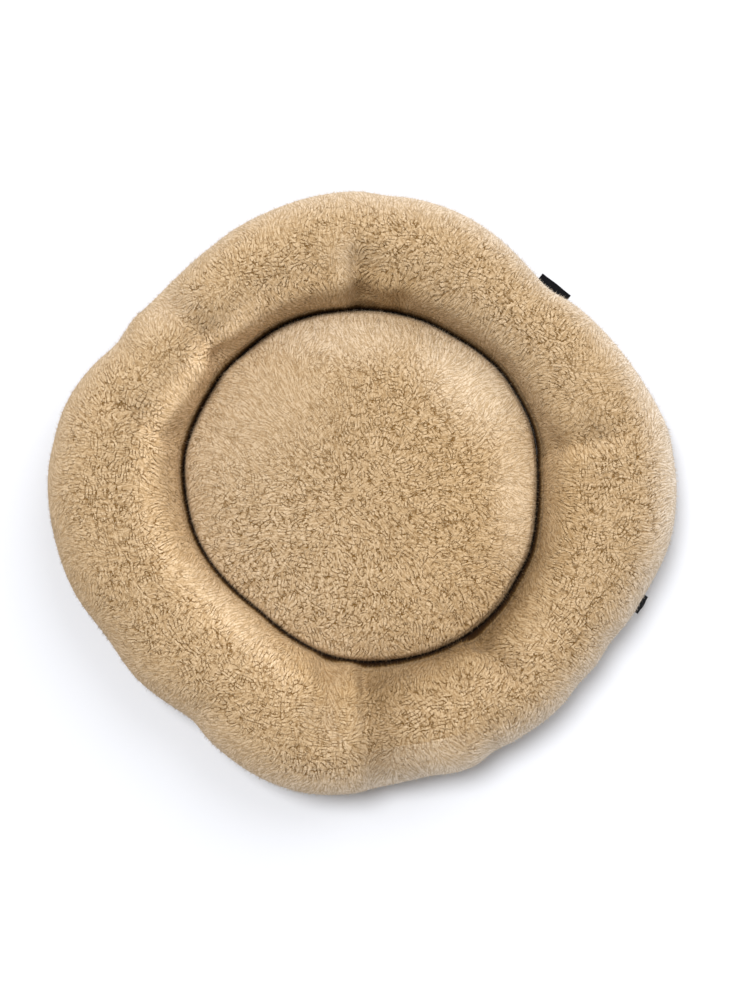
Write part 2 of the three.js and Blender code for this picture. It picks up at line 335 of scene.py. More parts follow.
def lieOfPile(points, normals):
    # the pile falls downhill, with a slow drift from side to side
    down = normals * normals[:, 2:3] - np.array((0, 0, 1), np.float32)
    down = unit(down)
    side = np.cross(normals, down)
    drift = 0.5 * noiseAt(points, 45 * mm, 1)[:, None]
    return down * np.cos(drift) + side * np.sin(drift)


def stepsOf(grid, closed):
    if closed:
        return [(np.roll(grid, -1, axis) - np.roll(grid, 1, axis)) / 2 for axis in (0, 1)]
    return list(np.gradient(grid, axis=(0, 1)))


def spreadRates(grid, grain, across, along, closed):
    # how fast a field on the grid spreads each way, so that it spreads by real distances on the surface
    du, dv = stepsOf(grid, closed)
    uu, uv, vv = (du * du).sum(-1), (du * dv).sum(-1), (dv * dv).sum(-1)
    area = np.maximum(uu * vv - uv * uv, 1e-16)
    grainU, grainV = (grain * du).sum(-1), (grain * dv).sum(-1)
    turnedU = (vv * grainU - uv * grainV) / area
    turnedV = (uu * grainV - uv * grainU) / area
    more = along ** 2 - across ** 2
    rates = [across ** 2 * vv / area + more * turnedU ** 2,
             -across ** 2 * uv / area + more * turnedU * turnedV,
             across ** 2 * uu / area + more * turnedV ** 2]
    return [np.clip(rate / 2, -9, 9).astype(np.float32) for rate in rates]


def spreadOut(field, rates, closed):
    rateU, rateUV, rateV = rates
    times = max(1, math.ceil(float(np.quantile(rateU + rateV, 0.999)) * 2 / 0.85))
    limit = 0.42 * times
    total = np.maximum((rateU + rateV) / limit, 1)
    rateU, rateUV, rateV = (rate / total / times for rate in rates)
    for _ in range(times):
        f = np.pad(field, 1, mode="wrap" if closed else "edge")
        middle = 2 * f[1:-1, 1:-1]
        acrossU = f[2:, 1:-1] + f[:-2, 1:-1] - middle
        acrossV = f[1:-1, 2:] + f[1:-1, :-2] - middle
        diagonal = f[2:, 2:] + f[:-2, :-2] - f[2:, :-2] - f[:-2, 2:]
        field = field + rateU * acrossU + rateV * acrossV + rateUV * diagonal / 2
    return field


def locksField(grid, grain, layer, size, closed):
    # a field between -1 and 1, whose zero lines part the pile into locks that lie along the grain
    points = grid.reshape(-1, 3)
    flatGrain = grain.reshape(-1, 3)
    steps = (-1, -0.5, 0, 0.5, 1)
    reach = pileWork["streak"] * size
    field = sum(noiseAt(points + flatGrain * reach * k, 3.6 * mm * size, layer) for k in steps)
    field = (field / field.std()).reshape(grid.shape[:2])
    near = spreadRates(grid, grain, pileWork["across"] * size, pileWork["along"] * size, closed)
    far = spreadRates(grid, grain, pileWork["apart"] * size, pileWork["apart"] * size, closed)
    for _ in range(pileWork["rounds"]):
        close = spreadOut(field, near, closed)
        field = close - spreadOut(close, far, closed)
        field = np.tanh(1.6 * field / field.std())
    return field.reshape(-1)


def pileOn(grid, normals, ridge, strength, shown, closed):
    # moves the points of a smooth cover out to the pile; ridge is the way that the partings run on the level
    points = grid.reshape(-1, 3).astype(np.float32)
    flow = lieOfPile(points, normals)
    slope = np.sqrt(np.maximum(0, 1 - normals[:, 2] ** 2))
    steep = smoothStep(0.2, 0.5, slope)
    wander = 0.4 * noiseAt(points, 34 * mm, 11)[:, None]
    level = ridge * np.cos(wander) + np.cross(normals, ridge) * np.sin(wander)
    grain = unit(level * (1 - steep)[:, None] + flow * steep[:, None]).astype(np.float32)
    across = np.cross(normals, grain)
    fields = (points, grain, across)
    gridPoints, gridGrain, gridAcross = (a.reshape(grid.shape).astype(np.float32) for a in fields)
    first = locksField(gridPoints, gridGrain, 5, 1.0, closed)
    second = locksField(gridPoints, gridAcross, 15, pileWork["cutSize"], closed)
    whole = 0.1 + 0.9 * smoothStep(-1.0, 0.8, noiseAt(points, 5.2 * mm, 6))
    partly = smoothStep(-0.5, 1.0, noiseAt(points, 4.2 * mm, 16)) * (1 - 0.5 * steep)
    width = pileWork["lineWidth"]
    parting = np.maximum(np.exp(-(first / width) ** 2) * whole, np.exp(-(second / width) ** 2) * partly)
    height = pileWork["rise"] * shown - strength * pileWork["partingDepth"] * parting
    height += pileWork["fluff"] * shown * noiseAt(points, 2.7 * mm, 8)
    leant = (height + pileWork["partingDepth"]) * pileWork["lean"] * slope * shown * 0.5
    moved = points + normals * height[:, None] + flow * leant[:, None]
    made = {
        "first": first,
        "second": second,
        "firstStrength": np.clip(strength, 0, 1) * whole,
        "secondStrength": np.clip(strength, 0, 1) * partly,
        "lie": flow,
    }
    return moved, made, slope


# Where the pile has been brushed over, seen from above: x, y and the size in millimetres from the bed's
# middle. The pile's lay is painted there as light, paler, or below 0 as shade, darker, where it is brushed
# towards the light, and `smooth` is how much of its partings is gone.
brushed = rowsOf(
    "x y long wide turn lay smooth",
    (-105, 95, 105, 66, 42, 0.05, 0.7), (-8, 172, 110, 34, 0, 0.26, 0.65),
    (128, 122, 95, 46, -46, 0.5, 0.75), (174, 10, 100, 30, 90, 0.3, 0.7),
    (-172, 0, 80, 26, 90, 0.0, 0.35), (-17, 230, 42, 12, 90, 0.15, 0.6),
    (-22, -235, 66, 24, 94, 0.08, 0.35), (62, -290, 60, 28, 12, 0.3, 0.4),
    (-215, 195, 44, 24, 30, 0.18, 0.4), (-138, -142, 100, 15, -46, 0.2, 0.35),
    (50, -232, 60, 40, 8, -0.6, 0.0), (30, 236, 40, 26, 90, -0.3, 0.0))
# how much painted sheen and light pales the outer rim, at so many degrees round the bed
rimSheenTones = rowsOf(
    "at pale",
    (0, 0.85), (60, 0.65), (100, 0.35), (150, 0.2), (200, 0.05), (250, 0.3), (275, 0.8), (295, 1.0),
    (320, 0.9), (360, 0.85))
# how much painted light, or below 0 painted shade, lies on the pile of the inner wall, at so many degrees
# round the bed
wallLightTones = rowsOf(
    "at tone",
    (0, -0.02), (45, -0.1), (90, 0.0), (140, 0.5), (180, 0.22), (225, 0.15), (258, 0.05), (275, -0.2),
    (292, -0.2), (320, -0.2), (345, -0.12), (360, -0.02))
# The painted light and shade on the ring: how much the tone changes in red, green and blue, and how dark the
# painted shade of the groove is
paintWork = {
    "wallBounceWarmth": (0.0, 0.04, 0.12),   # taken up by the inner wall
    "creaseShade": (1.0, 1.08, 1.2),
    "rimSheenTint": (0.09, 0.11, 0.15),
    "grooveShadePowers": (0.86, 1.0, 1.3),     # powers, so that the shade is warmer
    "grooveShade": 0.8,                      # on the wall beside the groove
    "seam": 0.9,                       # in the groove itself
}


def brushedAt(points):
    lay, smooth = np.zeros(len(points)), np.zeros(len(points))
    for patch in brushed:
        turn = math.radians(patch["turn"])
        x = points[:, 0] - bed["middle"][0] - patch["x"] * mm
        y = points[:, 1] - bed["middle"][1] - patch["y"] * mm
        along = (x * math.cos(turn) + y * math.sin(turn)) / (patch["long"] * mm)
        across = (y * math.cos(turn) - x * math.sin(turn)) / (patch["wide"] * mm)
        share = np.exp(-(along ** 2 + across ** 2) ** 1.3)
        lay = np.where(np.abs(patch["lay"] * share) > np.abs(lay), patch["lay"] * share, lay)
        smooth = np.maximum(smooth, patch["smooth"] * share)
    return lay, smooth


# The groove between the ring and the cushion: how wide it stands open, and how far from it the ring's
# wall is in the groove's shade, in millimetres, at so many degrees round the bed
groove = rowsOf(
    "at open dark",
    (0, 1.3, 14), (45, 1.2, 12), (100, 1.2, 10), (140, 1.3, 11), (165, 1.1, 8), (205, 0.6, 4),
    (245, 0.6, 4), (285, 1.0, 10), (310, 2.6, 30), (328, 2.6, 28), (345, 1.8, 18), (360, 1.3, 14))
grooveDepth = 13 * mm


def grooveAt(degrees, label):
    return tableAt(groove, label, degrees) * mm


def paintedShadeAt(toSeam):
    # 1 in the groove, where its shade is painted, and nothing just above the seam
    return 1 - smoothStep(-7 * mm, 0.5 * mm, toSeam)


def clearOfSeam(toSeam):
    # how much of the pile there is, down into the groove
    return smoothStep(-grooveDepth, -0.4 * grooveDepth, toSeam)


def meetingHeights(grid):
    # the height of the seam between ring and cushion, for each column of the ring
    cushionTree = treeOf("cushion")
    heights = np.empty(len(grid))
    for i, column in enumerate(grid):
        above = [p for p in column if p[2] > ringWork["aboveFoot"]]
        touching = [p[2] for p in above if cushionTree.find_nearest(Vector(p))[3] < ringWork["touching"]]
        heights[i] = max(touching)
    return softened(heights, 6, 0)


def meetingAt(degrees):
    places = np.arange(len(ringMeets) + 1) * 360 / len(ringMeets)
    return np.interp(degrees, places, np.append(ringMeets, ringMeets[0]))


coverGrid, ringHeart = castRing()
ringMeets = meetingHeights(coverGrid)
print("Seam between ring and cushion from", ringMeets.min(), "to", ringMeets.max())
coverGrid = softened(coverGrid, 4, 0)
coverGrid = softened(coverGrid, 1, 1)
rows = len(tubeAngles)
quads = ringFaces(ringWork["columns"], rows)
coverPoints = coverGrid.reshape(-1, 3)
degrees, share, radius = aroundAndAcross(coverPoints, ringHeart)


def ringInset(degrees, share, z, slack):
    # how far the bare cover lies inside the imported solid: deeper in the groove, and nothing where it is sewn
    meet = meetingAt(degrees)
    inner = smoothStep(*ringWork["innerWall"], share)
    sewn = inner * np.clip((meet + 1 * mm - z) / grooveDepth, 0, 1)
    inGroove = inner * (1 - smoothStep(meet + 2 * mm, meet + 14 * mm, z))
    deeper = ringWork["cover"] - ringWork["outerCover"]
    cover = ringWork["outerCover"] + deeper * smoothStep(0.45, 0.8, share)
    inset = cover + slack + grooveAt(degrees, "open") * inGroove
    inset -= ringWork["fuller"] * np.exp(-((share - ringWork["fullerAt"]) / ringWork["fullerSpan"]) ** 2)
    return inset * (1 - sewn) - ringWork["sewnProud"] * sewn


inset = ringInset(degrees, share, coverPoints[:, 2], ringWork["slack"])
coverPoints = coverPoints - normalsOf(coverPoints, quads) * inset[:, None]
sewn = np.clip(creaseDepths(degrees, share, radius)[0] / (4 * mm), 0, 1)
below = (share < -0.1) | (share > 0.9)
coverPoints = puffedUp(coverPoints, quads, np.where(below, 1, sewn))
print("Ring cover puffed up")
finer = ringWork["finer"]
fineGrid = refined(refined(coverPoints.reshape(ringWork["columns"], rows, 3), finer, 0), finer, 1)
fineColumns, fineRows = fineGrid.shape[:2]
finePoints = fineGrid.reshape(-1, 3)
fineQuads = ringFaces(fineColumns, fineRows)
degrees, share, radius = aroundAndAcross(finePoints, ringHeart)
drawnIn, creaseShade = creaseDepths(degrees, share, radius)
finePoints = finePoints - normalsOf(finePoints, fineQuads) * drawnIn[:, None]
smoothNormals = normalsOf(finePoints, fineQuads)
slopeHere = np.sqrt(np.maximum(0, 1 - smoothNormals[:, 2] ** 2))
meet = meetingAt(degrees)
inner = smoothStep(*ringWork["innerWall"], share)
toSeam = np.where(inner > 0, finePoints[:, 2] - meet, 1)
lay, smooth = brushedAt(finePoints)
# painted sheen and light on the outer rim: paler, and less warm in red, green and blue
rim = 1 - smoothStep(0.04, 0.4, share)
rimSheen = tableAt(rimSheenTones, "pale", degrees)
rim = rim * (0.12 + 0.88 * smoothStep(-0.12, 0.05, share))  # the outer wall below is like the rest
lay = np.maximum(lay, rim * rimSheen)
# painted light bounced into the hollow of the inner wall, or below 0 painted shade, with the painted warmth of
# that bounced light
wall = smoothStep(0.55, 0.75, share)
wallLight = tableAt(wallLightTones, "tone", degrees)
lay = lay + 0.5 * wall * np.clip(wallLight, 0, 1)
tint = (1 + wall * wallLight)[:, None] * (1 - wall[:, None] * np.array(paintWork["wallBounceWarmth"]))
# painted shade on the low side of each crease
tint = tint * (1 - creaseShade[:, None] * np.array(paintWork["creaseShade"]))
tint = tint * (1 + (rim * rimSheen)[:, None] * np.array(paintWork["rimSheenTint"]))
strength = (1 - 0.35 * smoothStep(0.5, 0.95, slopeHere)) * (1 - smooth) * (1 - 0.8 * rim)
strength *= 1 + 0.25 * noiseAt(finePoints, 45 * mm, 9)
shown = smoothStep(-0.27, -0.2, share) * clearOfSeam(toSeam)
outwards = finePoints - np.array((*bed["middle"], 0))
ridge = unit(np.cross(smoothNormals, np.cross(np.cross((0, 0, 1), outwards), smoothNormals)))
ringPile, ringValues, ringSlope = pileOn(finePoints.reshape(fineGrid.shape), smoothNormals, ridge,
                                         strength * shown, shown, True)
# painted shade in the groove between the ring and the cushion
ringValues["deep"] = paintedShadeAt(toSeam)
edge = np.where(share > 0.5, radius, 1).reshape(fineColumns, fineRows).min(1).repeat(fineRows)
# painted shade of the groove: up the ring's wall beside it and in the groove itself, warmer as it darkens
grooveShade = (radius - edge) / grooveAt(degrees, "dark") + 0.12 * noiseAt(finePoints, 5 * mm, 21)
grooveShade = paintWork["grooveShade"] * (1 - np.clip(grooveShade, 0, 1)) ** 1.7 * smoothStep(0.5, 0.6, share)
grooveShade = np.maximum(grooveShade, paintWork["seam"] * (1 - smoothStep(-4 * mm, 3 * mm, toSeam)))
tint = tint * (1 - grooveShade[:, None]) ** np.array(paintWork["grooveShadePowers"])
ringValues["lay"] = lay
ringValues["tint"] = tint
ringPile[:, 2] = np.maximum(ringPile[:, 2], bed["floorGap"])
ringNormals = pileShading(ringPile, fineQuads, smoothNormals)
print("Ring pile parted:", len(ringPile), "points")


# Materials
def newGroup(name, inputs, outputs):
    # inputs and outputs give the names of the sockets of each kind
    group = bpy.data.node_groups.new(name, "ShaderNodeTree")
    for side, sockets in (("INPUT", inputs), ("OUTPUT", outputs)):
        for kind, labels in sockets.items():
            for label in labels.split():
                group.interface.new_socket(name=label, in_out=side, socket_type="NodeSocket" + kind)
    return group, group.nodes.new("NodeGroupInput"), group.nodes.new("NodeGroupOutput")


def fed(tree, socket, value):
    if isinstance(value, bpy.types.NodeSocket):
        tree.links.new(value, socket)
    else:
        socket.default_value = value


def maths(tree, operation, *values):
    node = tree.nodes.new("ShaderNodeMath")
    node.operation = operation
    for socket, value in zip(node.inputs, values):
        fed(tree, socket, value)
    return node.outputs[0]


def vectorMaths(tree, operation, first, second):
    node = tree.nodes.new("ShaderNodeVectorMath")
    node.operation = operation
    fed(tree, node.inputs[0], first)
    fed(tree, node.inputs["Scale" if operation == "SCALE" else 1], second)
    return node.outputs[0]


def mixedColour(tree, share, first, second, blend="MIX"):
    node = tree.nodes.new("ShaderNodeMix")
    node.data_type = "RGBA"
    node.blend_type = blend
    fed(tree, node.inputs["Factor"], share)
    for socket, value in ((node.inputs[6], first), (node.inputs[7], second)):
        fed(tree, socket, (*value, 1) if isinstance(value, tuple) else value)
    return node.outputs[2]


def noiseOf(tree, place, detail=0.0):
    node = tree.nodes.new("ShaderNodeTexNoise")
    node.inputs["Scale"].default_value = 1
    node.inputs["Detail"].default_value = detail
    fed(tree, node.inputs["Vector"], place)
    return node.outputs["Fac"]


def ramped(tree, value, fromLow, fromHigh, toLow, toHigh):
    node = tree.nodes.new("ShaderNodeMapRange")
    node.interpolation_type = "SMOOTHSTEP"
    for label, number in zip(("Value", "From Min", "From Max", "To Min", "To Max"),
                             (value, fromLow, fromHigh, toLow, toHigh)):
        fed(tree, node.inputs[label], number)
    return node.outputs["Result"]


def makePartings():
    # thin partings along the zero lines of the two fields that shape the pile, which are painted dark as
    # shade, and the crowns between them, which take painted light
    group, given, result = newGroup(
        "partings", {"Float": "First FirstStrength Second SecondStrength Width Ragged RagSize"},
        {"Float": "Parting Crown"})
    place = group.nodes.new("ShaderNodeTexCoord").outputs["Object"]
    spot = vectorMaths(group, "SCALE", place, maths(group, "DIVIDE", 1.0, given.outputs["RagSize"]))
    uneven = maths(group, "SUBTRACT", noiseOf(group, spot, 1.0), 0.5)
    rag = maths(group, "MULTIPLY", uneven, given.outputs["Ragged"])
    lines = []
    for label in ("First", "Second"):
        away = maths(group, "ABSOLUTE", maths(group, "ADD", given.outputs[label], rag))
        line = ramped(group, away, 0.0, given.outputs["Width"], 1.0, 0.0)
        lines.append(maths(group, "MULTIPLY", line, given.outputs[label + "Strength"]))
        if label == "First":
            crown = maths(group, "MULTIPLY", away, given.outputs["FirstStrength"])
    group.links.new(maths(group, "MAXIMUM", *lines), result.inputs["Parting"])
    group.links.new(crown, result.inputs["Crown"])
    return group


def makeFibreGrain():
    # single fibres and small tufts: fine noise drawn out along the lie of the pile
    group, given, result = newGroup(
        "fibreGrain", {"Vector": "Lie", "Float": "Size Length"}, {"Float": "Grain"})
    place = group.nodes.new("ShaderNodeTexCoord").outputs["Object"]
    total = 0.0
    steps = (-1, -0.33, 0.33, 1)
    for k in steps:
        shift = maths(group, "MULTIPLY", given.outputs["Length"], float(k))
        spot = vectorMaths(group, "ADD", place, vectorMaths(group, "SCALE", given.outputs["Lie"], shift))
        spot = vectorMaths(group, "SCALE", spot, maths(group, "DIVIDE", 1.0, given.outputs["Size"]))
        total = maths(group, "ADD", total, noiseOf(group, spot))
    grain = maths(group, "DIVIDE", total, float(len(steps)))
    group.links.new(ramped(group, grain, 0.4, 0.6, 0.0, 1.0), result.inputs["Grain"])
    return group


def makeFleeceTone():
    # the colour of the pile: painted shade in the partings and the groove, paler at the fibres' tips, painted
    # light and shade where it lies over, and painted light on the crowns of the locks
    group, given, result = newGroup(
        "fleeceTone",
        {"Color": "Upright Lying Against Deep", "Float": "Lay Parting Grain GrainTone Crown Tip",
         "Vector": "Tint"},
        {"Color": "Colour"})
    # paler at the fibres' tips, and painted light where the pile lies over, on the rim and on the inner wall
    lay = maths(group, "MULTIPLY_ADD", given.outputs["Tip"], 0.15, given.outputs["Lay"])
    lay.node.use_clamp = True
    body = mixedColour(group, lay, given.outputs["Upright"], given.outputs["Lying"])
    # painted shade where the pile is brushed towards the light
    against = maths(group, "MULTIPLY", given.outputs["Lay"], -1.0)
    against.node.use_clamp = True
    body = mixedColour(group, against, body, given.outputs["Against"])
    tone = maths(group, "MULTIPLY_ADD", maths(group, "SUBTRACT", given.outputs["Grain"], 0.5),
                 given.outputs["GrainTone"], 0.9)
    # painted light on the crowns of the locks, so that they shade as if rounded
    tone = maths(group, "MULTIPLY_ADD", given.outputs["Crown"], 0.17, tone)
    # darker tones are painted warmer, standing in for light bounced between the fibres
    shade = group.nodes.new("ShaderNodeCombineColor")  # darker tones are also warmer
    for socket, power in zip(shade.inputs, (0.8, 1.0, 1.35)):
        fed(group, socket, maths(group, "POWER", tone, power))
    body = mixedColour(group, 1.0, body, shade.outputs[0], "MULTIPLY")
    # painted shade in the partings between the locks and in the groove
    body = mixedColour(group, given.outputs["Parting"], body, given.outputs["Deep"])
    # the tint carries the painted light and shade of the inner wall, the creases, the rim and the groove, and
    # the cushion's tones towards its sides
    body = mixedColour(group, 1.0, body, given.outputs["Tint"], "MULTIPLY")
    group.links.new(body, result.inputs["Colour"])
    return group


partings = makePartings()
fibreGrain = makeFibreGrain()
fleeceTone = makeFleeceTone()

fleeceWork = {
    "upright": (0.49, 0.35, 0.205),   # the pile seen end on
    # painted light where the pile lies brushed over, on the rim and on the inner wall; also the fibres' own
    # paler tips
    "lying": (0.82, 0.71, 0.58),      # the pile brushed over, away from the light
    # painted shade where the pile is brushed towards the light
    "against": (0.31, 0.205, 0.098),  # the pile brushed towards the light
    # painted shade, down between the locks and in the groove
    "deep": (0.145, 0.066, 0.006),    # down between the locks
    "lineWidth": 0.8,
    "lineTone": 1.0,
    "ragged": 2.6,
    "ragSize": 1.7 * mm,
    "grainSize": 1.5 * mm,
    "grainLength": 2.2 * mm,
    "grainTone": 0.45,
    "sheen": 0.04,
    "relief": 0.7 * mm,
}


def placed(tree, group, **values):
    node = tree.nodes.new("ShaderNodeGroup")
    node.node_tree = group
    for label, value in values.items():
        if isinstance(value, tuple) and len(value) == 3:
            value = (*value, 1)
        fed(tree, node.inputs[label], value)
    return node.outputs[0]


def attributeOf(tree, name, output="Fac"):
    node = tree.nodes.new("ShaderNodeAttribute")
    node.attribute_name = name
    return node.outputs[output]


def newMaterial(name, values):
    material = bpy.data.materials.new(name)
    material.use_nodes = True
    shader = material.node_tree.nodes["Principled BSDF"]
    for label, value in values.items():
        shader.inputs[label].default_value = value
    return material, material.node_tree, shader


def bumped(tree, shader, height, relief):
    bump = tree.nodes.new("ShaderNodeBump")
    bump.inputs["Distance"].default_value = relief
    tree.links.new(height, bump.inputs["Height"])
    tree.links.new(bump.outputs["Normal"], shader.inputs["Normal"])


def fleeceMaterial(name, work):
    material, tree, shader = newMaterial(name, {
        "Roughness": 0.95, "Specular IOR Level": 0.1, "Sheen Weight": work["sheen"], "Sheen Roughness": 0.4,
        "Sheen Tint": (1.0, 0.94, 0.86, 1)})
    line = placed(tree, partings, Width=work["lineWidth"], Ragged=work["ragged"], RagSize=work["ragSize"],
                  First=attributeOf(tree, "first"), FirstStrength=attributeOf(tree, "firstStrength"),
                  Second=attributeOf(tree, "second"), SecondStrength=attributeOf(tree, "secondStrength"))
    grain = placed(tree, fibreGrain, Lie=attributeOf(tree, "lie", "Vector"), Size=work["grainSize"],
                   Length=work["grainLength"])
    # painted shade: the partings between the locks, and the groove
    dark = maths(tree, "MAXIMUM", maths(tree, "MULTIPLY", line, work["lineTone"]), attributeOf(tree, "deep"))
    tone = placed(tree, fleeceTone, Upright=work["upright"], Lying=work["lying"],
                  Against=work["against"], Deep=work["deep"],
                  Lay=attributeOf(tree, "lay"), Parting=dark, Grain=grain, GrainTone=work["grainTone"],
                  Crown=line.node.outputs["Crown"], Tip=attributeOf(tree, "tip"),
                  Tint=attributeOf(tree, "tint", "Vector"))
    tree.links.new(tone, shader.inputs["Base Color"])
    bumped(tree, shader, maths(tree, "SUBTRACT", maths(tree, "MULTIPLY", grain, 0.3), line), work["relief"])
    return material


fleece = fleeceMaterial("fleece", fleeceWork)


def pileObject(name, points, faces, normals, values, material):
    mesh = meshOf(name, points, faces)
    mesh.shade_smooth()
    mesh.normals_split_custom_set_from_vertices(normals.tolist())
    for label, numbers in values.items():
        numbers = np.asarray(numbers, np.float32)
        plain = numbers.ndim == 1
        layer = mesh.attributes.new(label, "FLOAT" if plain else "FLOAT_VECTOR", "POINT")
        layer.data.foreach_set("value" if plain else "vector", numbers.ravel())
    mesh.materials.append(material)
    piece = shownObject(name, mesh)
    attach(piece, "root")
    return piece


def ringSector(index):
    each = fineColumns // ringWork["sectors"]
    columns = (np.arange(each + 1) + index * each) % fineColumns
    ids = (columns[:, None] * fineRows + np.arange(fineRows)).ravel()
    points = ringPile[ids]
    normals = ringNormals[ids]
    faces = ringFaces(each + 1, fineRows, closed=False).tolist()
    ends = []
    for column, order in ((0, 1), (each, -1)):
        rim = [column * fineRows + k for k in range(fineRows)]
        middle = len(points) + len(ends)
        ends.append(points[rim].mean(0))
        for k in range(fineRows):
            pair = [rim[k], rim[(k + 1) % fineRows]][::order]
            faces.append([middle, *pair])
    points = np.concatenate((points, ends))
    normals = np.concatenate((normals, [(0, 0, 1)] * 2))
    values = {label: numbers[[*ids, ids[0], ids[0]]] for label, numbers in ringValues.items()}
    piece = pileObject(f"ring_plush_{index + 1}", points, faces, normals, values, fleece)
    return piece


for index in range(ringWork["sectors"]):
    sector = ringSector(index)
    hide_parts("ring")
print("Ring built")

# Loose fibres on the pile
fibreWork = {
    "radius": 0.3 * mm,
    "sunk": 1.2 * mm,        # the root, below the pile's surface
    "upright": 3.0 * mm,     # length on the crest
    "lying": 5.5 * mm,       # length on a slope
    "spread": 0.32,
    "count": 9000,           # on the cushion and on each of the ring's sectors
}


def fibresOn(name, points, normals, made, slope, shown, seed, material):
    count = fibreWork["count"]
    draw = np.random.default_rng(seed)
    chance = shown * (1 - made["deep"]) * smoothStep(0.1, 0.6, np.abs(made["first"]))
    chosen = draw.choice(len(points), count, p=chance / chance.sum())
    normal, lie, steep = normals[chosen], made["lie"][chosen], smoothStep(0.15, 0.8, slope[chosen])
    side = np.cross(normal, lie)
    around = draw.uniform(0, 2 * math.pi, count)
    jitter = lie * np.cos(around)[:, None] + side * np.sin(around)[:, None]
    size = draw.uniform(0.6, 1.2, count)
    root = points[chosen] + jitter * draw.uniform(0, 0.7 * mm, count)[:, None] - normal * fibreWork["sunk"]
    tilt = 0.25 + 1.5 * steep
    scatter = draw.normal(size=(count, 3)) * fibreWork["spread"]
    direction = unit(normal + lie * tilt[:, None] + scatter)
    length = size * (fibreWork["upright"] + steep * (fibreWork["lying"] - fibreWork["upright"]))
    tip = root + direction * (length + fibreWork["sunk"])[:, None]
    first = unit(np.cross(direction, normal + 0.3 * side))
    second = np.cross(direction, first)
    corners = []
    for k in range(3):
        turn = k * 2 * math.pi / 3
        corners.append(root + (first * math.cos(turn) + second * math.sin(turn)) * fibreWork["radius"])
    verts = np.stack((*corners, tip), 1).reshape(-1, 3)
    verts[:, 2] = np.maximum(verts[:, 2], bed["floorGap"])
    base = np.arange(count)[:, None, None] * 4
    faces = (base + np.array(((0, 1, 3), (1, 2, 3), (2, 0, 3), (2, 1, 0)))).reshape(-1, 3)
    outward = np.stack([c - root for c in corners] + [tip - root], 1).reshape(-1, 3)
    shading = unit(unit(outward) * 0.35 + np.repeat(normal, 4, 0))
    values = {
        "tip": np.tile((0, 0, 0, 1.0), count),
        "lay": np.repeat(made["lay"][chosen] + draw.uniform(-0.2, 0.2, count), 4),
        "tint": np.repeat(made["tint"][chosen], 4, 0),
    }
    return pileObject(name, verts, faces, shading, values, material)


for index in range(ringWork["sectors"]):
    part = (np.arange(fineColumns) * ringWork["sectors"] // fineColumns == index).repeat(fineRows)
    area = np.clip(radius / radius.mean(), 0.3, 2)
    fibres = fibresOn(f"ring_fibres_{index + 1}", ringPile, smoothNormals, ringValues, ringSlope,
                      shown * part * area, 20 + index, fleece)

# Cushion
cushionWork = {
    "cells": 68,             # across the cushion
    "finer": 4,
    "heart": 40 * mm,        # the height that the rays start from
    "edge": 93,              # degrees from straight up, where the crown's surface ends, down in the seam
    "under": [103, 118, 140, 160],
    "turns": 360,
    "slack": 2.5 * mm,       # the cover starts this much smaller before it is puffed up
    "darkerTop": (0.05, 0.06, 0.08),      # towards +Y, in red, green and blue
    "warmerRight": (0.05, 0.02, -0.05),   # towards +X
}


def castCushion():
    # from the middle of the crown over the edge and down into the seam, for each angle round the bed
    tree = treeOf("cushion")
    heart = Vector((*bed["middle"], cushionWork["heart"]))
    flat = np.degrees(np.arctan(np.linspace(0, 188 * mm, 60) / cushionWork["heart"]))
    edge = np.arange(flat[-1] + 0.5, cushionWork["edge"] + 0.1, 0.5)
    lifts = np.radians(np.concatenate((flat, edge, cushionWork["under"])))
    grid = np.empty((cushionWork["turns"], len(lifts), 3))
    for i in range(cushionWork["turns"]):
        turn = i / cushionWork["turns"] * 2 * math.pi
        outwards = Vector((math.cos(turn), math.sin(turn), 0))
        for j, lift in enumerate(lifts):
            direction = outwards * math.sin(lift) + Vector((0, 0, math.cos(lift)))
            grid[i, j] = hitPlace(tree, heart, direction)
    count = len(flat) + len(edge)
    return grid[:, :count], grid[:, count:]


def evenly(grid, steps):
    # each row's points set out again at even steps of its length
    result = np.empty((len(grid), steps, 3))
    for i, row in enumerate(grid):
        length = np.concatenate(((0,), np.cumsum(lengthOf(np.diff(row, axis=0)))))
        places = np.linspace(0, length[-1], steps)
        for axis in range(3):
            result[i, :, axis] = np.interp(places, length, row[:, axis])
    return result


def valueAt(grid, turn, share):
    # reads the round grid between its points
    turns, steps = grid.shape[:2]
    place = (turn / (2 * math.pi)) % 1 * turns
    i = np.floor(place).astype(int)
    u = (place - i)[:, None]
    row = np.clip(share, 0, 1) * (steps - 1)
    j = np.minimum(np.floor(row).astype(int), steps - 2)
    v = (row - j)[:, None]
    a, b = grid[i % turns, j], grid[(i + 1) % turns, j]
    c, d = grid[i % turns, j + 1], grid[(i + 1) % turns, j + 1]
    return (a * (1 - u) + b * u) * (1 - v) + (c * (1 - u) + d * u) * v


def squareToDisc(cells):
    # the turn and the share of the radius of each point of a square grid drawn into a disc
    line = np.linspace(-1, 1, cells + 1)
    x, y = (a.ravel() for a in np.meshgrid(line, line, indexing="ij"))
    wide = np.abs(x) > np.abs(y)
    safeX, safeY = np.where(x == 0, 1, x), np.where(y == 0, 1, y)
    share = np.where(wide, np.abs(x), np.abs(y))
    turn = np.where(wide, y / safeX * math.pi / 4, math.pi / 2 - x / safeY * math.pi / 4)
    turn = np.where(wide, np.where(x < 0, turn + math.pi, turn), np.where(y < 0, turn + math.pi, turn))
    return turn, share


def rimOf(cells):
    # the grid's edge, anticlockwise from its corner
    ids = np.arange((cells + 1) ** 2).reshape(cells + 1, cells + 1)
    return np.concatenate((ids[:-1, 0], ids[-1, :-1], ids[:0:-1, -1], ids[0, :0:-1]))


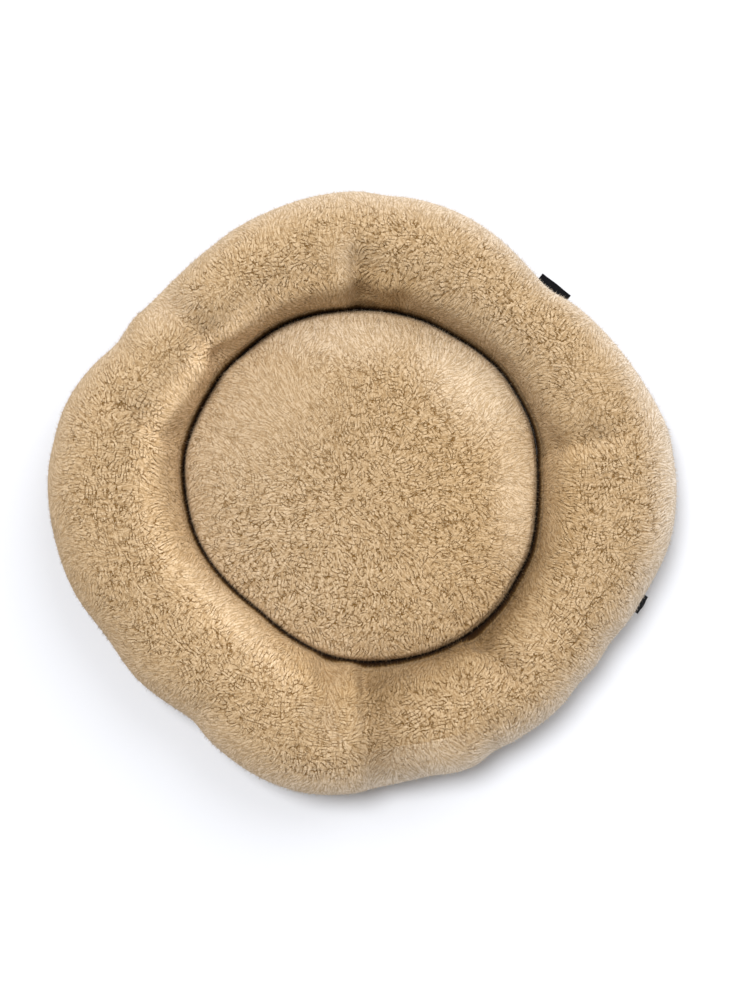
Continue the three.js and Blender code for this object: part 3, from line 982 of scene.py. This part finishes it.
def cushionFaces(cells, skirts):
    ids = np.arange((cells + 1) ** 2).reshape(cells + 1, cells + 1)
    top = np.stack((ids[:-1, :-1], ids[1:, :-1], ids[1:, 1:], ids[:-1, 1:]), -1).reshape(-1, 4)
    faces = top.tolist()
    rim = rimOf(cells)
    count = len(rim)
    last = rim
    for k in range(skirts):
        here = (cells + 1) ** 2 + k * count + np.arange(count)
        faces += np.stack((last, here, np.roll(here, -1), np.roll(last, -1)), -1).tolist()
        last = here
    middle = (cells + 1) ** 2 + skirts * count
    faces += [[int(a), middle, int(b)] for a, b in zip(last, np.roll(last, -1))]
    return faces


def cushionPoints(crown, under, cells):
    turn, share = squareToDisc(cells)
    top = valueAt(crown, turn, share)
    rimTurn = turn[rimOf(cells)]
    steps = under.shape[1]
    skirts = [valueAt(under, rimTurn, np.full(len(rimTurn), k / (steps - 1))) for k in range(steps)]
    middle = np.array([[*bed["middle"], bed["floorGap"]]])
    return np.concatenate((top, *skirts, middle))


def degreesRound(points):
    offset = fromMiddle(points)
    return np.degrees(np.arctan2(offset[:, 1], offset[:, 0])) % 360


crown, under = castCushion()
crown = evenly(softened(crown, 8, 0), 160)
crown = softened(crown, 12, 1, closed=False)
skirts = len(cushionWork["under"])
cells = cushionWork["cells"]
coverPoints = cushionPoints(crown, under, cells)
coverFaces = cushionFaces(cells, skirts)
fineCells = cells * cushionWork["finer"]
puff = np.zeros(((fineCells + 1) ** 2, 3))
loose = smoothStep(-2 * mm, 14 * mm, coverPoints[:, 2] - meetingAt(degreesRound(coverPoints)))
loose[(cells + 1) ** 2:] = 0
start = coverPoints - normalsOf(coverPoints, coverFaces) * (cushionWork["slack"] * loose)[:, None]
puffed = puffedUp(start, coverFaces, 1 - loose)
puff = (puffed - coverPoints)[:(cells + 1) ** 2].reshape(cells + 1, cells + 1, 3)
puff = drawnFiner(puff, cushionWork["finer"])
puff = softened(softened(puff, 6, 1, closed=False).swapaxes(0, 1), 6, 1, closed=False).swapaxes(0, 1)
puff = puff.reshape(-1, 3)
print("Cushion cover puffed up, by", puff[:, 2].min(), "to", puff[:, 2].max())
finePoints = cushionPoints(crown, under, fineCells)
fineFaces = cushionFaces(fineCells, skirts)
smoothNormals = normalsOf(finePoints, fineFaces)
crownCount = (fineCells + 1) ** 2
finePoints[:crownCount] += puff
offset = fromMiddle(finePoints)
degrees = degreesRound(finePoints)
toSeam = finePoints[:, 2] - meetingAt(degrees)
sewn = np.clip((1 * mm - toSeam) / grooveDepth, 0, 1)
inGroove = 1 - smoothStep(2 * mm, 9 * mm, toSeam)
inset = (ringWork["cover"] + 0.6 * grooveAt(degrees, "open") * inGroove) * (1 - sewn)
inset -= ringWork["sewnProud"] * sewn
finePoints = finePoints - smoothNormals * inset[:, None]
smoothNormals = normalsOf(finePoints, fineFaces)
slopeHere = np.sqrt(np.maximum(0, 1 - smoothNormals[:, 2] ** 2))
shown = clearOfSeam(toSeam)
lay, smooth = brushedAt(finePoints)
strength = (1 - 0.35 * smoothStep(0.5, 0.9, slopeHere)) * (1 - smooth) * shown
swirl = 2.2 * noiseAt(finePoints.astype(np.float32), 70 * mm, 12)
ridge = np.stack((np.cos(swirl), np.sin(swirl), np.zeros(len(swirl))), 1)
ridge = unit(np.cross(smoothNormals, np.cross(ridge, smoothNormals)))
crownShape = (fineCells + 1, fineCells + 1, 3)
crownPile, crownValues, crownSlope = pileOn(
    finePoints[:crownCount].reshape(crownShape), smoothNormals[:crownCount], ridge[:crownCount],
    strength[:crownCount], shown[:crownCount], False)
below = len(finePoints) - crownCount
cushionPile = np.concatenate((crownPile, finePoints[crownCount:]))
cushionValues = {label: np.concatenate((numbers, np.zeros((below,) + numbers.shape[1:])))
                 for label, numbers in crownValues.items()}
cushionSlope = np.concatenate((crownSlope, np.ones(below)))
# painted shade in the groove, on the cushion's side
cushionValues["deep"] = paintedShadeAt(toSeam)
cushionValues["lay"] = lay
sides = np.clip(offset / (180 * mm), -1, 1)
tint = 1 - sides[:, 1:] * np.array(cushionWork["darkerTop"])
tint = tint + sides[:, :1] * np.array(cushionWork["warmerRight"])
# painted shade of the groove on the cushion's edge
seamShade = 0.8 * (1 - smoothStep(-5 * mm, 3 * mm, toSeam))
cushionValues["tint"] = tint * (1 - seamShade[:, None])
cushionPile[:, 2] = np.maximum(cushionPile[:, 2], bed["floorGap"])
cushionNormals = pileShading(cushionPile, fineFaces, smoothNormals)
cushion = pileObject("cushion_plush", cushionPile, fineFaces, cushionNormals, cushionValues, fleece)
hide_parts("cushion")
fibres = fibresOn("cushion_fibres", cushionPile, smoothNormals, cushionValues, cushionSlope,
                  shown, 31, fleece)
print("Cushion built:", len(cushionPile), "points")

# Woven side tabs, folded in two with their ends sewn into the outer seam
tabs = [
    {"node": "side_tab_large", "at": 46.3, "length": 40, "reach": 11, "droop": 14, "turn": 5.5},
    {"node": "side_tab_small", "at": 337.9, "length": 22, "reach": 11, "droop": 58, "turn": -9.5},
]
tapeWork = {
    "cloth": 0.9 * mm,
    "gap": 0.5 * mm,      # between the two layers
    "sewnIn": 7 * mm,     # hidden in the pile and the seam
    "seamHeight": 47 * mm,
    "threads": 0.8 * mm,
    "alongSteps": 48,
    "between": (0.002, 0.002, 0.0025),  # the colour between the threads,
    "onTop": (0.011, 0.011, 0.013),     # and on top of them
    "relief": 0.15 * mm,
    "ripple": 0.5 * mm,
}


def makeWeave():
    # a plain weave over the tape's own length and width, in metres
    group, given, result = newGroup("tapeWeave", {"Float": "Thread"}, {"Float": "Height"})
    spot = group.nodes.new("ShaderNodeUVMap")
    spot.uv_map = "tape"
    split = group.nodes.new("ShaderNodeSeparateXYZ")
    group.links.new(spot.outputs["UV"], split.inputs["Vector"])
    turns = maths(group, "DIVIDE", math.pi, given.outputs["Thread"])
    angles = [maths(group, "MULTIPLY", split.outputs[axis], turns) for axis in ("X", "Y")]
    waves = [maths(group, "SINE", angle) for angle in angles]
    over = maths(group, "MULTIPLY", *waves)
    rib = maths(group, "ABSOLUTE", waves[0])
    group.links.new(maths(group, "MULTIPLY_ADD", over, 0.5, rib), result.inputs["Height"])
    return group


def tapeMaterial():
    material, tree, shader = newMaterial("wovenTape", {"Specular IOR Level": 0.05})
    height = placed(tree, makeWeave(), Thread=tapeWork["threads"])
    raised = ramped(tree, height, 0.0, 1.4, 0.0, 1.0)
    tone = mixedColour(tree, raised, tapeWork["between"], tapeWork["onTop"])
    tree.links.new(tone, shader.inputs["Base Color"])
    tree.links.new(ramped(tree, height, 0.0, 1.4, 0.85, 0.6), shader.inputs["Roughness"])
    bumped(tree, shader, height, tapeWork["relief"])
    return material


def tapePath(reach):
    # from one sewn end out to the fold and back, as seen along the fold: outwards, up, and the length so far
    turn = tapeWork["cloth"] / 2 + tapeWork["gap"] / 2
    bend = reach * mm - turn - tapeWork["cloth"] / 2
    straight = np.linspace(-tapeWork["sewnIn"], bend, 14)
    curve = np.radians(np.linspace(-90, 90, 11))[1:-1]
    out = np.concatenate((straight, bend + turn * np.cos(curve), straight[::-1]))
    up = np.concatenate((np.full(14, -turn), turn * np.sin(curve), np.full(14, turn)))
    length = np.concatenate(((0,), np.cumsum(np.hypot(np.diff(out), np.diff(up)))))
    return out, up, length


def outlineRadius(at):
    turn = math.radians(at)
    outwards = Vector((math.cos(turn), math.sin(turn), 0))
    middle = Vector((*bed["middle"], tapeWork["seamHeight"]))
    return (hitPlace(treeOf("ring"), middle + outwards, -outwards) - middle).length


def makeTab(row, material):
    out, up, length = tapePath(row["reach"])
    tangent = unit(np.stack((np.gradient(out), np.gradient(up)), 1))
    across = np.stack((-tangent[:, 1], tangent[:, 0]), 1) * tapeWork["cloth"] / 2
    wide = np.linspace(-0.5, 0.5, tapeWork["alongSteps"] + 1) * row["length"] * mm
    thin = np.where(np.abs(wide) > wide[-1] - 0.5 * mm, 0.7, 1.0)  # the woven edges are a little thinner
    shell = []
    for side in (1, -1):
        edge = np.stack((out, up), 1)[:, None] + side * across[:, None] * thin[None, :, None]
        along = np.broadcast_to(wide[None, :, None], edge.shape[:2] + (1,))
        shell.append(np.concatenate((edge[..., :1], along, edge[..., 1:]), -1))
    sag = tapeWork["ripple"] * np.cos(wide / wide[-1] * math.pi * 1.3)[None, :, None]
    sag = sag * np.clip(out / out.max(), 0, 1)[:, None, None]
    points = np.concatenate([layer + sag * np.array((0, 0, 1)) for layer in shell]).reshape(-1, 3)
    steps, count = len(out), len(wide)
    ids = np.arange(2 * steps * count).reshape(2, steps, count)
    faces, spots = [], []

    def addFace(corners):
        faces.append([ids[c] for c in corners])
        spots.extend((length[c[1]], wide[c[2]]) for c in corners)

    for i in range(steps - 1):
        for j in range(count - 1):
            addFace(((0, i, j), (0, i + 1, j), (0, i + 1, j + 1), (0, i, j + 1)))
            addFace(((1, i, j), (1, i, j + 1), (1, i + 1, j + 1), (1, i + 1, j)))
        for j, order in ((0, 1), (count - 1, -1)):
            addFace(((0, i, j), (1, i, j), (1, i + 1, j), (0, i + 1, j))[::order])
    for j in range(count - 1):
        for i, order in ((0, -1), (steps - 1, 1)):
            addFace(((0, i, j), (1, i, j), (1, i, j + 1), (0, i, j + 1))[::order])
    mesh = meshOf(row["node"] + "_tape", points, faces)
    layer = mesh.uv_layers.new(name="tape")
    layer.data.foreach_set("uv", np.array(spots, np.float32).ravel())
    mesh.materials.append(material)
    piece = shownObject(mesh.name, mesh)
    droop = Matrix.Rotation(math.radians(row["droop"]), 4, "Y")
    turn = Matrix.Rotation(math.radians(row["turn"]), 4, "Z")
    stand = Matrix.Translation((outlineRadius(row["at"]), 0, tapeWork["seamHeight"]))
    swing = Matrix.Rotation(math.radians(row["at"]), 4, "Z")
    mesh.transform(Matrix.Translation((*bed["middle"], 0)) @ swing @ stand @ turn @ droop)
    bpy.context.scene.view_layers[0].update()
    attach(piece, "root")
    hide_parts(row["node"])
    return piece


tape = tapeMaterial()
for row in tabs:
    makeTab(row, tape)
print("Side tabs built")

# Floor, light and camera
floorWork = {"reach": 30, "colour": (0.68, 0.70, 0.745, 1), "roughness": 0.9}
square = ((-1, -1), (1, -1), (1, 1), (-1, 1))
corners = [(x * floorWork["reach"], y * floorWork["reach"], 0) for x, y in square]
floorMesh = meshOf("floor", corners, [(0, 1, 2, 3)])
floorValues = {"Base Color": floorWork["colour"], "Roughness": floorWork["roughness"]}
floorMesh.materials.append(newMaterial("floor", floorValues)[0])
floor = shownObject("floor", floorMesh)

lights = [
    {"name": "window", "from": (0.7, 1.0, 1.05), "spread": 40, "power": 1.3},
    {"name": "overhead", "from": (-0.26, 0.33, 1.0), "spread": 22, "power": 2.75},
]
for row in lights:
    light = bpy.data.lights.new(row["name"], "SUN")
    light.angle = math.radians(row["spread"])
    light.energy = row["power"]
    lamp = shownObject(row["name"], light)
    lamp.rotation_euler = (-Vector(row["from"])).to_track_quat("-Z", "Y").to_euler()
roomWork = {"Color": (1.03, 0.985, 0.93, 1), "Strength": 0.44}
world = bpy.data.worlds.new("studio")
world.use_nodes = True
for label, value in roomWork.items():
    world.node_tree.nodes["Background"].inputs[label].default_value = value
bpy.context.scene.world = world
bpy.context.scene.view_settings.view_transform = "Standard"

cameraWork = {"lens": 60, "sensor": 36, "place": (0.0063, -0.0033, 1.881)}
cameraData = bpy.data.cameras.new("camera")
cameraData.lens = cameraWork["lens"]
cameraData.sensor_width = cameraWork["sensor"]
camera = shownObject("camera", cameraData)
camera.location = cameraWork["place"]
bpy.context.scene.camera = camera
print("Floor, lights and camera set")
